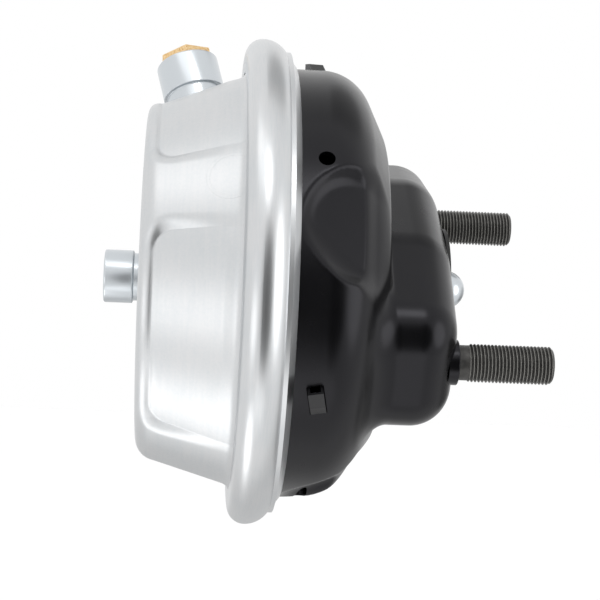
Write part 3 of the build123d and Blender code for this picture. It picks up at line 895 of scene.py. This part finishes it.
def side_port_place():
    """Matrix from a boss made along +X to the side port, where its axis meets the cover's wall."""
    skin_r = LAND_R - (COVER_FLANGE_BACK - SIDE_PORT_X) * math.tan(LAND_SLOPE)
    out = Vector((0, -math.cos(SIDE_PORT_ANGLE), math.sin(SIDE_PORT_ANGLE)))
    along = Vector((1, 0, 0))
    axis = out * math.cos(SIDE_PORT_LEAN) - along * math.sin(SIDE_PORT_LEAN)
    second = along * math.cos(SIDE_PORT_LEAN) + out * math.sin(SIDE_PORT_LEAN)
    turn = Matrix((axis, second, axis.cross(second))).transposed().to_4x4()
    return Matrix.Translation(along * SIDE_PORT_X + out * skin_r) @ turn


def build_side_port():
    """Turned boss, sealing washer and hexagon plug of the second port."""
    place = side_port_place()
    top = SIDE_BOSS_REACH
    boss = turned_piece("side_boss", [
        (-2.6, BORE_R), (-2.6, SIDE_BOSS_NECK_R), (9.2, SIDE_BOSS_NECK_R, 0.3), (9.6, SIDE_BOSS_R, 0.3),
        (top, SIDE_BOSS_R, 0.9), (top, SIDE_THREAD_R), (top - 10.5, SIDE_THREAD_R), (top - 10.5, BORE_R)],
        turned_steel(), place=place)
    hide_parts("side_port_boss")
    seal = turned_piece("side_port_washer", [
        (top, SEAL_INNER_R), (top, SEAL_OUTER_R, 0.2), (top + SEAL_T, SEAL_OUTER_R, 0.2),
        (top + SEAL_T, SEAL_INNER_R)], soft_rubber(), place=place)
    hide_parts("side_port_seal")
    plug = hexagon_plug("brass_plug", top + SEAL_T, place)
    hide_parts("side_port_plug")
    return boss, seal, plug


def hexagon_plug(name, base, place):
    """Plug with a plain hexagon head and a shank below it."""
    angles = turn_angles(144)
    sector = math.pi / 3
    spread = (angles + sector / 2) % sector - sector / 2
    hexagon = PLUG_HALF_FLAT / np.cos(spread)
    shank = [(-9.0, 0.0), (-9.0, 6.6), (-8.4, 7.2), (0.0, 7.2)]
    rows = [(dx, np.minimum(hexagon, limit)) for dx, limit in shank]
    rows += [(0.0, hexagon), (PLUG_HEAD_T - PLUG_BREAK, hexagon), (PLUG_HEAD_T, hexagon - PLUG_BREAK),
             (PLUG_HEAD_T, 0 * hexagon)]
    points = np.concatenate([round_axis(base + dx, r, angles) for dx, r in rows])
    return make_piece(name, moved(points, place), grid_faces(len(rows), len(angles)), turned_brass(),
                      sharp=22)


def stud_place(side):
    """(y, z) of the lower stud for side 1 and the upper one for side -1."""
    r = STUD_SPACING / 2
    return -side * r * math.cos(STUD_ANGLE), side * r * math.sin(STUD_ANGLE)


def build_stud(name, side):
    """Mounting stud: head inside the neck, plain stretch at the mounting face, thread to a bevelled tip."""
    s = sizes()
    low, high = box_mm("stud_" + name)
    back, tip = low[0], high[0]
    front = back + STUD_HEAD_T
    shank_r = STUD_R - 0.02
    break_r = STUD_HEAD_R - STUD_HEAD_BREAK
    angles = turn_angles(48)
    rows = [(back, 0.0), (back, break_r), (back + 0.8, STUD_HEAD_R), (front - 0.8, STUD_HEAD_R),
            (front, break_r), (front, shank_r), (0.0, shank_r), (1.6, STUD_PLAIN_R), (4.9, STUD_PLAIN_R)]
    root = STUD_R - s.thread_depth
    for at in np.arange(THREAD_START, tip, s.thread_pitch / 10):
        phase = (at / s.thread_pitch + angles / (2 * math.pi)) % 1.0
        height = np.clip((np.abs(phase - 0.5) * 2 - THREAD_ROOT) / THREAD_FLANK, 0, 1)
        thread = root + s.thread_depth * height
        begun = smoothstep(THREAD_START, THREAD_START + 1.2, at)
        radius = STUD_PLAIN_R + (thread - STUD_PLAIN_R) * begun
        rows.append((at, np.minimum(radius, STUD_R - STUD_POINT + (tip - at))))
    rows += [(tip, STUD_R - STUD_POINT - 0.1), (tip, 0.0)]
    points = np.concatenate([round_axis(x, r, angles) for x, r in rows])
    points = points + np.array([0, *stud_place(side)])
    piece = make_piece("threaded_stud_" + name, points, grid_faces(len(rows), len(angles)),
                       phosphated_steel(), sharp=60)
    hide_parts("stud_" + name)
    return piece


def build_sleeve(name, side):
    """Collar round a stud in the mounting face."""
    back = -sizes().wall
    sleeve = turned_piece("stud_collar_" + name, [
        (back, COLLAR_BORE_R), (back, COLLAR_R), (COLLAR_TOP, COLLAR_R, COLLAR_ROUND),
        (COLLAR_TOP, COLLAR_BORE_R)], black_electrocoat(), columns=64,
        place=Matrix.Translation((0, *stud_place(side))))
    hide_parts("stud_sleeve_" + name)
    return sleeve


def vent_place(angle):
    """Matrix of a vent window, turned a little on the drum."""
    place = facing_out(VENT_X + VENT_SHIFT, sizes().drum_radius, math.radians(angle + VENT_RAISED))
    return place @ Matrix.Rotation(VENT_TWIST, 4, "Z")


def build_vent_flap(name, angle):
    """Moulded hood over a vent window, turned with the window, its mouth at the window's upper end."""
    node = frame["nodes"]["vent_flap_" + name]
    square = facing_out(VENT_X, sizes().drum_radius, math.radians(angle)).inverted()
    turned = vent_place(angle)
    points = []
    for corner in node.data.vertices:
        x, y, z = square @ (node.matrix_world @ corner.co / MM)
        mouth = VENT_MOUTH if y > 0 else 0
        lift = VENT_LIFT if z > 0 else 1
        points.append(turned @ Vector((x * VENT_NARROW, y + mouth, z * lift)))
    faces = [tuple(face.vertices) for face in node.data.polygons]
    flap = make_piece("turned_vent_flap_" + name, [tuple(p) for p in points], faces, black_nylon(),
                      clean=False)
    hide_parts("vent_flap_" + name)
    return flap


# ---------------------------------------------------------------------------------------------
# Rod, ball, rubber parts and spring
# ---------------------------------------------------------------------------------------------

BALL_X = 3.6
BALL_R = 8.4
ROD_R = 9.5
FOOT_R = 17.0
FOOT_SHANK_R = 6.9                  # riveted through the plate
ROD_FRONT = -6.0                    # where the ball end is screwed in
BALL_NECK_R = 5.6
BALL_SWEEP = 0.72 * math.pi         # of its outline, from the tip to its neck
BALL_STEPS = 24
BOOT_LIP_R = 27.0                   # middle of the lip's rim on the mounting face
BOOT_LIP_X = 1.0
BOOT_HALF = 0.8                     # half its wall
BOOT_GAP = 0.3                      # to the mouth and to the rod
BOOT_FIRST_FOLD = -7.8
BOOT_FOLDS = 3
BOOT_FOLD_L = 7.0
BOOT_FOLD_DEPTH = 3.0
WIRE_R = 3.0
SPRING_BACK_R = 46.0
SPRING_FRONT_R = 29.5
SPRING_TURNS = 8
CLOSED_TURNS = 1.0                  # at each end
CLOSED_RISE = 0.15                  # of a closed turn, as a share of a working one's


def build_rod():
    """Push rod with its foot, and its ball end."""
    rod_low = box_mm("push_rod")[0][0]
    foot = box_mm("pressure_plate")[0][0] + 3.0
    rod = turned_piece("rod_shaft", [
        (rod_low, 0.0), (rod_low, FOOT_SHANK_R), (foot, FOOT_SHANK_R), (foot, FOOT_R, 1.5),
        (foot + 4.0, FOOT_R, 1.5), (foot + 8.0, ROD_R, 3.0), (ROD_FRONT, ROD_R, 1.8), (ROD_FRONT, 0.0)],
        bare_steel(), body="push_rod", columns=96)
    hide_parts("push_rod")
    outline = [(ROD_FRONT, 0.0), (ROD_FRONT, BALL_NECK_R)]
    for step in range(BALL_STEPS + 1):
        a = BALL_SWEEP * (1 - step / BALL_STEPS)
        outline.append((BALL_X + BALL_R * math.cos(a), BALL_R * math.sin(a)))
    ball = turned_piece("ball_end_turned", outline, turned_steel(), body="push_rod",
                        columns=96, sharp=50)
    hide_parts("ball_end")
    return rod, ball


def build_boot():
    """Rubber bellows with its sealing lip."""
    outer_r = MOUTH_R - BOOT_GAP - BOOT_HALF
    inner_r = ROD_R + BOOT_GAP + BOOT_HALF
    corners = [(BOOT_LIP_X, BOOT_LIP_R), (BOOT_LIP_X, outer_r)]
    x = BOOT_FIRST_FOLD
    for _ in range(BOOT_FOLDS):
        corners += [(x, outer_r), (x - BOOT_FOLD_L / 2, outer_r - BOOT_FOLD_DEPTH)]
        x -= BOOT_FOLD_L
    corners += [(x - BOOT_HALF, (outer_r + inner_r) / 2), (-20.0, inner_r), (-13.0, inner_r)]
    line = resampled(rounded([(a, b, 2 * BOOT_HALF) for a, b in corners], 6), 150)
    tangent = unit_rows(np.gradient(line, axis=0))
    side = np.stack([-tangent[:, 1], tangent[:, 0]], axis=1)
    loop = np.concatenate([line + side * BOOT_HALF, (line - side * BOOT_HALF)[::-1]])
    angles = turn_angles(120)
    points = round_axis(loop[:, :1], loop[:, 1:], angles[None, :]).reshape(-1, 3)
    piece = make_piece("rubber_boot", points, grid_faces(len(loop), len(angles), closed_rows=True),
                       soft_rubber(), body=None, sharp=50)
    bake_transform(piece)
    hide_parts("boot")
    return piece


def build_spring():
    """Conical coil spring, with a closed turn at each end."""
    low, high = box_mm("return_spring")
    steps = 720
    columns = 20
    turn = np.linspace(0, 1, steps) * SPRING_TURNS
    last = SPRING_TURNS - CLOSED_TURNS      # where the closed turn at the front starts
    end_rise = last - CLOSED_TURNS + CLOSED_RISE
    rise = np.where(turn < CLOSED_TURNS, turn * CLOSED_RISE,
                    np.where(turn > last, end_rise + (turn - last) * CLOSED_RISE,
                             turn - CLOSED_TURNS + CLOSED_RISE))
    share = rise / rise.max()
    x = low[0] + WIRE_R + share * (high[0] - low[0] - 2 * WIRE_R)
    radius = SPRING_BACK_R + (SPRING_FRONT_R - SPRING_BACK_R) * share
    a = turn * 2 * math.pi
    centre = round_axis(x, radius, a)
    tangent = unit_rows(np.gradient(centre, axis=0))
    side = unit_rows(np.cross(tangent, round_axis(0 * a, 1, a)))
    out = np.cross(side, tangent)
    ring = turn_angles(columns)
    points = centre[:, None, :] + WIRE_R * (np.cos(ring)[None, :, None] * out[:, None, :]
                                            + np.sin(ring)[None, :, None] * side[:, None, :])
    faces = grid_faces(steps, columns)
    faces.append(tuple(range(columns)))
    faces.append(tuple(range((steps - 1) * columns, steps * columns))[::-1])
    piece = make_piece("coil_spring", points.reshape(-1, 3), faces, spring_coating(),
                       body=None, sharp=60)
    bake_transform(piece)
    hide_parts("return_spring")
    return piece


def finish_cad_nodes():
    """Finishes for the CAD nodes that stay as they are."""
    finishes = {
        "pressure_plate": bare_steel, "plate_rivet": bare_steel,
        "boot_retainer": bare_steel, "cuff_ring": bare_steel, "spring_seat": black_nylon,
    }
    for node, finish in finishes.items():
        mesh = frame["nodes"][node].data
        mesh.materials.clear()
        mesh.materials.append(finish())


def build_diaphragm():
    """Rubber diaphragm: bead between the flanges, rolled wall and flat bottom on the plate."""
    back = box_mm("diaphragm")[0][0]
    inside = back + 2.8
    bead_back, bead_front, bead_r = COVER_FLANGE_FRONT, HOUSING_FLANGE_BACK, FLANGE_R - 0.4
    piece = turned_piece("rubber_diaphragm", [
        (back, 0.0), (back, 66.5, 7.5), (-88.0, 84.5, 3.0), (bead_back, 85.5), (bead_back, bead_r, 1.0),
        (bead_front, bead_r, 1.0), (bead_front, 90.5, 1.0), (-83.0, 83.5, 3.0), (inside, 64.4, 5.0),
        (inside, 0.0)], soft_rubber(), body=None)
    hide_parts("diaphragm")
    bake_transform(piece)
    return piece


# ---------------------------------------------------------------------------------------------
# Stage
# ---------------------------------------------------------------------------------------------

FLOOR_Z = -0.30
LENS_MM = 98.5
CAMERA_AT = (-0.11223, -0.72938, -0.00119)
CAMERA_RIGHT = (0.99674522, -0.0691246, 0.04148206)
CAMERA_AHEAD = (0.069526, 0.99754552, -0.00831141)


def build_camera():
    """Camera in front of the chamber, turned slightly and rolled."""
    data = bpy.data.cameras.new("camera")
    data.lens = LENS_MM
    data.sensor_width = 36.0
    data.clip_start = 0.01
    camera = bpy.data.objects.new("camera", data)
    right = Vector(CAMERA_RIGHT).normalized()
    ahead = Vector(CAMERA_AHEAD).normalized()
    up = right.cross(ahead).normalized()
    right = ahead.cross(up)
    turn = Matrix((right, up, -ahead)).transposed().to_4x4()
    camera.matrix_world = Matrix.Translation(CAMERA_AT) @ turn
    bpy.context.scene.collection.objects.link(camera)
    bpy.context.scene.camera = camera
    return camera


def soft_light(name, at, look, size, power):
    """Rectangular softbox aimed at a point, for matt surfaces and the shadow; gloss doesn't see it."""
    data = bpy.data.lights.new(name, "AREA")
    data.shape = "RECTANGLE"
    data.size, data.size_y = size
    data.energy = power
    lamp = bpy.data.objects.new(name, data)
    lamp.location = at
    lamp.rotation_euler = (Vector(look) - Vector(at)).to_track_quat("-Z", "Y").to_euler()
    lamp.visible_glossy = False
    bpy.context.scene.collection.objects.link(lamp)
    return lamp


# Softboxes and dark flags round the chamber that its gloss sees: turn from -Y towards +X and height of the
# middle, half width and half height, all in degrees, and the light that each adds or takes.
BOXES = {
    "dark_room_in_front": (18.5, -8, 22.5, 33, -0.9),
    "bar_box": (14, 48, 17, 8, 2.8),
    "upper_box": (-35, 54, 55, 14, 0.6),
    "left_box": (-44, -17, 18, 13, 0.8),
    "low_left_box": (-78, -66, 50, 15, 1.1),
    "table_box": (12, -56, 35, 12, 0.45),
    "right_box": (62, 0, 18, 24, 1.4),
    "dark_ceiling_behind": (139, 60, 31, 24, -0.5),
    "dark_floor_behind": (165, -40, 60, 36, -0.27),
    "dark_right_behind": (124, -12, 20, 20, -0.42),
}
BOX_EDGE = 0.2                      # softness of a box's edge, as a share of its size
BEHIND_FROM = 120                   # degrees of turn past which a box is measured from +Y


def build_world():
    """White studio, even for matt surfaces, with softboxes and a dark room in front that only gloss sees."""
    world = bpy.data.worlds.new("studio")
    bpy.context.scene.world = world
    world.use_nodes = True
    tree = world.node_tree
    tree.nodes.clear()
    way = add_node(tree, "ShaderNodeTexCoord").outputs["Generated"]
    split = add_node(tree, "ShaderNodeSeparateXYZ", {0: way})
    front = add_node(tree, "ShaderNodeMath", {0: split.outputs["Y"], 1: -1.0}, operation="MULTIPLY")
    turn = add_node(tree, "ShaderNodeMath", {0: split.outputs["X"], 1: front.outputs[0]}, operation="ARCTAN2")
    height = add_node(tree, "ShaderNodeMath", {0: split.outputs["Z"]}, operation="ARCSINE")
    left = add_node(tree, "ShaderNodeMath", {0: split.outputs["X"], 1: -1.0}, operation="MULTIPLY")
    turn_behind = add_node(tree, "ShaderNodeMath", {0: left.outputs[0], 1: split.outputs["Y"]},
                           operation="ARCTAN2")
    ahead, behind = (
        add_node(tree, "ShaderNodeCombineXYZ", {"X": node.outputs[0], "Y": height.outputs[0]}).outputs[0]
        for node in (turn, turn_behind))
    level = 1.0
    for turned, raised, half_width, half_height, light in BOXES.values():
        is_behind = abs(turned) > BEHIND_FROM
        middle = (math.radians(turned - 180 if is_behind else turned), math.radians(raised), 0)
        size = (math.radians(half_width), math.radians(half_height), 1)
        off = add_node(tree, "ShaderNodeVectorMath", {0: behind if is_behind else ahead, 1: middle},
                       operation="SUBTRACT")
        share = add_node(tree, "ShaderNodeVectorMath", {0: off.outputs[0], 1: size}, operation="DIVIDE")
        away = add_node(tree, "ShaderNodeVectorMath", {0: share.outputs[0]}, operation="LENGTH")
        box = add_node(tree, "ShaderNodeMapRange", {"Value": away.outputs["Value"]}, From_Min=1 - BOX_EDGE,
                       From_Max=1 + BOX_EDGE, To_Min=light, To_Max=0.0, interpolation_type="SMOOTHSTEP")
        total = add_node(tree, "ShaderNodeMath", {0: box.outputs["Result"], 1: level}, operation="ADD")
        level = total.outputs[0]
    ray = add_node(tree, "ShaderNodeLightPath")
    strength = add_node(tree, "ShaderNodeMix", {0: ray.outputs["Is Glossy Ray"], 2: 1.0, 3: level},
                        data_type="FLOAT")
    back = add_node(tree, "ShaderNodeBackground", {"Strength": strength.outputs[0]}, Color=(1, 1, 1, 1))
    add_node(tree, "ShaderNodeOutputWorld", {"Surface": back.outputs[0]})


def build_floor():
    """Plain white floor with a faint shadow, which gloss looks through to the studio below."""
    half = 3.0
    corners = [(x * half, y * half, FLOOR_Z) for x, y in ((-1, -1), (1, -1), (1, 1), (-1, 1))]
    mesh = bpy.data.meshes.new("floor")
    mesh.from_pydata(corners, [], [(0, 1, 2, 3)])
    floor = bpy.data.objects.new("floor", mesh)
    bpy.context.scene.collection.objects.link(floor)
    material, tree, shader = surface("pale_floor", "#ffffff", Roughness=0.9)
    ray = add_node(tree, "ShaderNodeLightPath")
    clear = add_node(tree, "ShaderNodeBsdfTransparent")
    mixed = add_node(tree, "ShaderNodeMixShader",
                     {0: ray.outputs["Is Glossy Ray"], 1: shader.outputs[0], 2: clear.outputs[0]})
    tree.links.new(mixed.outputs[0], tree.nodes["Material Output"].inputs["Surface"])
    mesh.materials.append(material)
    return floor


# ---------------------------------------------------------------------------------------------
# Operators and panel
# ---------------------------------------------------------------------------------------------

class CHAMBER_OT_cover(bpy.types.Operator):
    """Build the pressed cover and its ports"""
    bl_idname = "chamber.cover"
    bl_label = "Cover and Ports"

    def execute(self, context):
        build_cover()
        build_axial_port()
        build_side_port()
        return {"FINISHED"}


class CHAMBER_OT_ring(bpy.types.Operator):
    """Build the clamp ring"""
    bl_idname = "chamber.ring"
    bl_label = "Clamp Ring"

    def execute(self, context):
        build_clamp_ring()
        return {"FINISHED"}


class CHAMBER_OT_housing(bpy.types.Operator):
    """Build the painted housing and the plate in its neck"""
    bl_idname = "chamber.housing"
    bl_label = "Housing"

    def execute(self, context):
        build_housing()
        build_neck_plate()
        return {"FINISHED"}


class CHAMBER_OT_studs(bpy.types.Operator):
    """Build the mounting studs and their collars"""
    bl_idname = "chamber.studs"
    bl_label = "Mounting Studs"

    def execute(self, context):
        for name, side in (("lower", 1), ("upper", -1)):
            build_stud(name, side)
            build_sleeve(name, side)
        return {"FINISHED"}


class CHAMBER_OT_vents(bpy.types.Operator):
    """Build the hoods over the vent windows"""
    bl_idname = "chamber.vents"
    bl_label = "Vent Hoods"

    def execute(self, context):
        for name, angle in VENT_ANGLES.items():
            build_vent_flap(name, angle)
        return {"FINISHED"}


class CHAMBER_OT_rod(bpy.types.Operator):
    """Build the push rod, ball end and return spring"""
    bl_idname = "chamber.rod"
    bl_label = "Push Rod and Spring"

    def execute(self, context):
        build_rod()
        build_spring()
        return {"FINISHED"}


class CHAMBER_OT_rubber(bpy.types.Operator):
    """Build the boot and the diaphragm"""
    bl_idname = "chamber.rubber"
    bl_label = "Rubber Parts"

    def execute(self, context):
        build_boot()
        build_diaphragm()
        return {"FINISHED"}


class CHAMBER_OT_finish(bpy.types.Operator):
    """Give finishes to the CAD parts that stay"""
    bl_idname = "chamber.finish"
    bl_label = "Finishes"

    def execute(self, context):
        finish_cad_nodes()
        return {"FINISHED"}


class CHAMBER_OT_stage(bpy.types.Operator):
    """Build the floor, lights and camera"""
    bl_idname = "chamber.stage"
    bl_label = "Studio"

    def execute(self, context):
        build_world()
        build_floor()
        build_camera()
        soft_light("softbox_above", (-0.5, -0.9, 1.3), (-0.06, 0, 0), (1.0, 0.8), 3.0)
        context.scene.view_settings.view_transform = "Standard"
        return {"FINISHED"}


class CHAMBER_PT_panel(bpy.types.Panel):
    """Sizes, colours and build steps of the chamber"""
    bl_idname = "CHAMBER_PT_panel"
    bl_label = "Brake Chamber"
    bl_space_type = "VIEW_3D"
    bl_region_type = "UI"
    bl_category = "Brake Chamber"

    def draw(self, context):
        layout = self.layout
        for group in (context.scene.chamber_sizes, context.scene.chamber_colours):
            for key in group.__annotations__:
                layout.prop(group, key)
        for operator in OPERATORS:
            layout.operator(operator.bl_idname)


OPERATORS = (CHAMBER_OT_cover, CHAMBER_OT_ring, CHAMBER_OT_housing, CHAMBER_OT_studs, CHAMBER_OT_vents,
             CHAMBER_OT_rod, CHAMBER_OT_rubber, CHAMBER_OT_finish, CHAMBER_OT_stage)
CLASSES = (ChamberSizes, ChamberColours) + OPERATORS + (CHAMBER_PT_panel,)


def register():
    """Adds the operators, the panel and the values that they use."""
    for cls in CLASSES:
        bpy.utils.register_class(cls)
    bpy.types.Scene.chamber_sizes = bpy.props.PointerProperty(type=ChamberSizes)
    bpy.types.Scene.chamber_colours = bpy.props.PointerProperty(type=ChamberColours)


def unregister():
    """Takes them away again."""
    del bpy.types.Scene.chamber_colours
    del bpy.types.Scene.chamber_sizes
    for cls in reversed(CLASSES):
        bpy.utils.unregister_class(cls)


def main():
    """Builds everything."""
    register()
    bpy.ops.chamber.cover()
    bpy.ops.chamber.ring()
    bpy.ops.chamber.housing()
    bpy.ops.chamber.studs()
    bpy.ops.chamber.vents()
    bpy.ops.chamber.rod()
    bpy.ops.chamber.rubber()
    bpy.ops.chamber.finish()
    bpy.ops.chamber.stage()


if __name__ == "__main__":
    main()
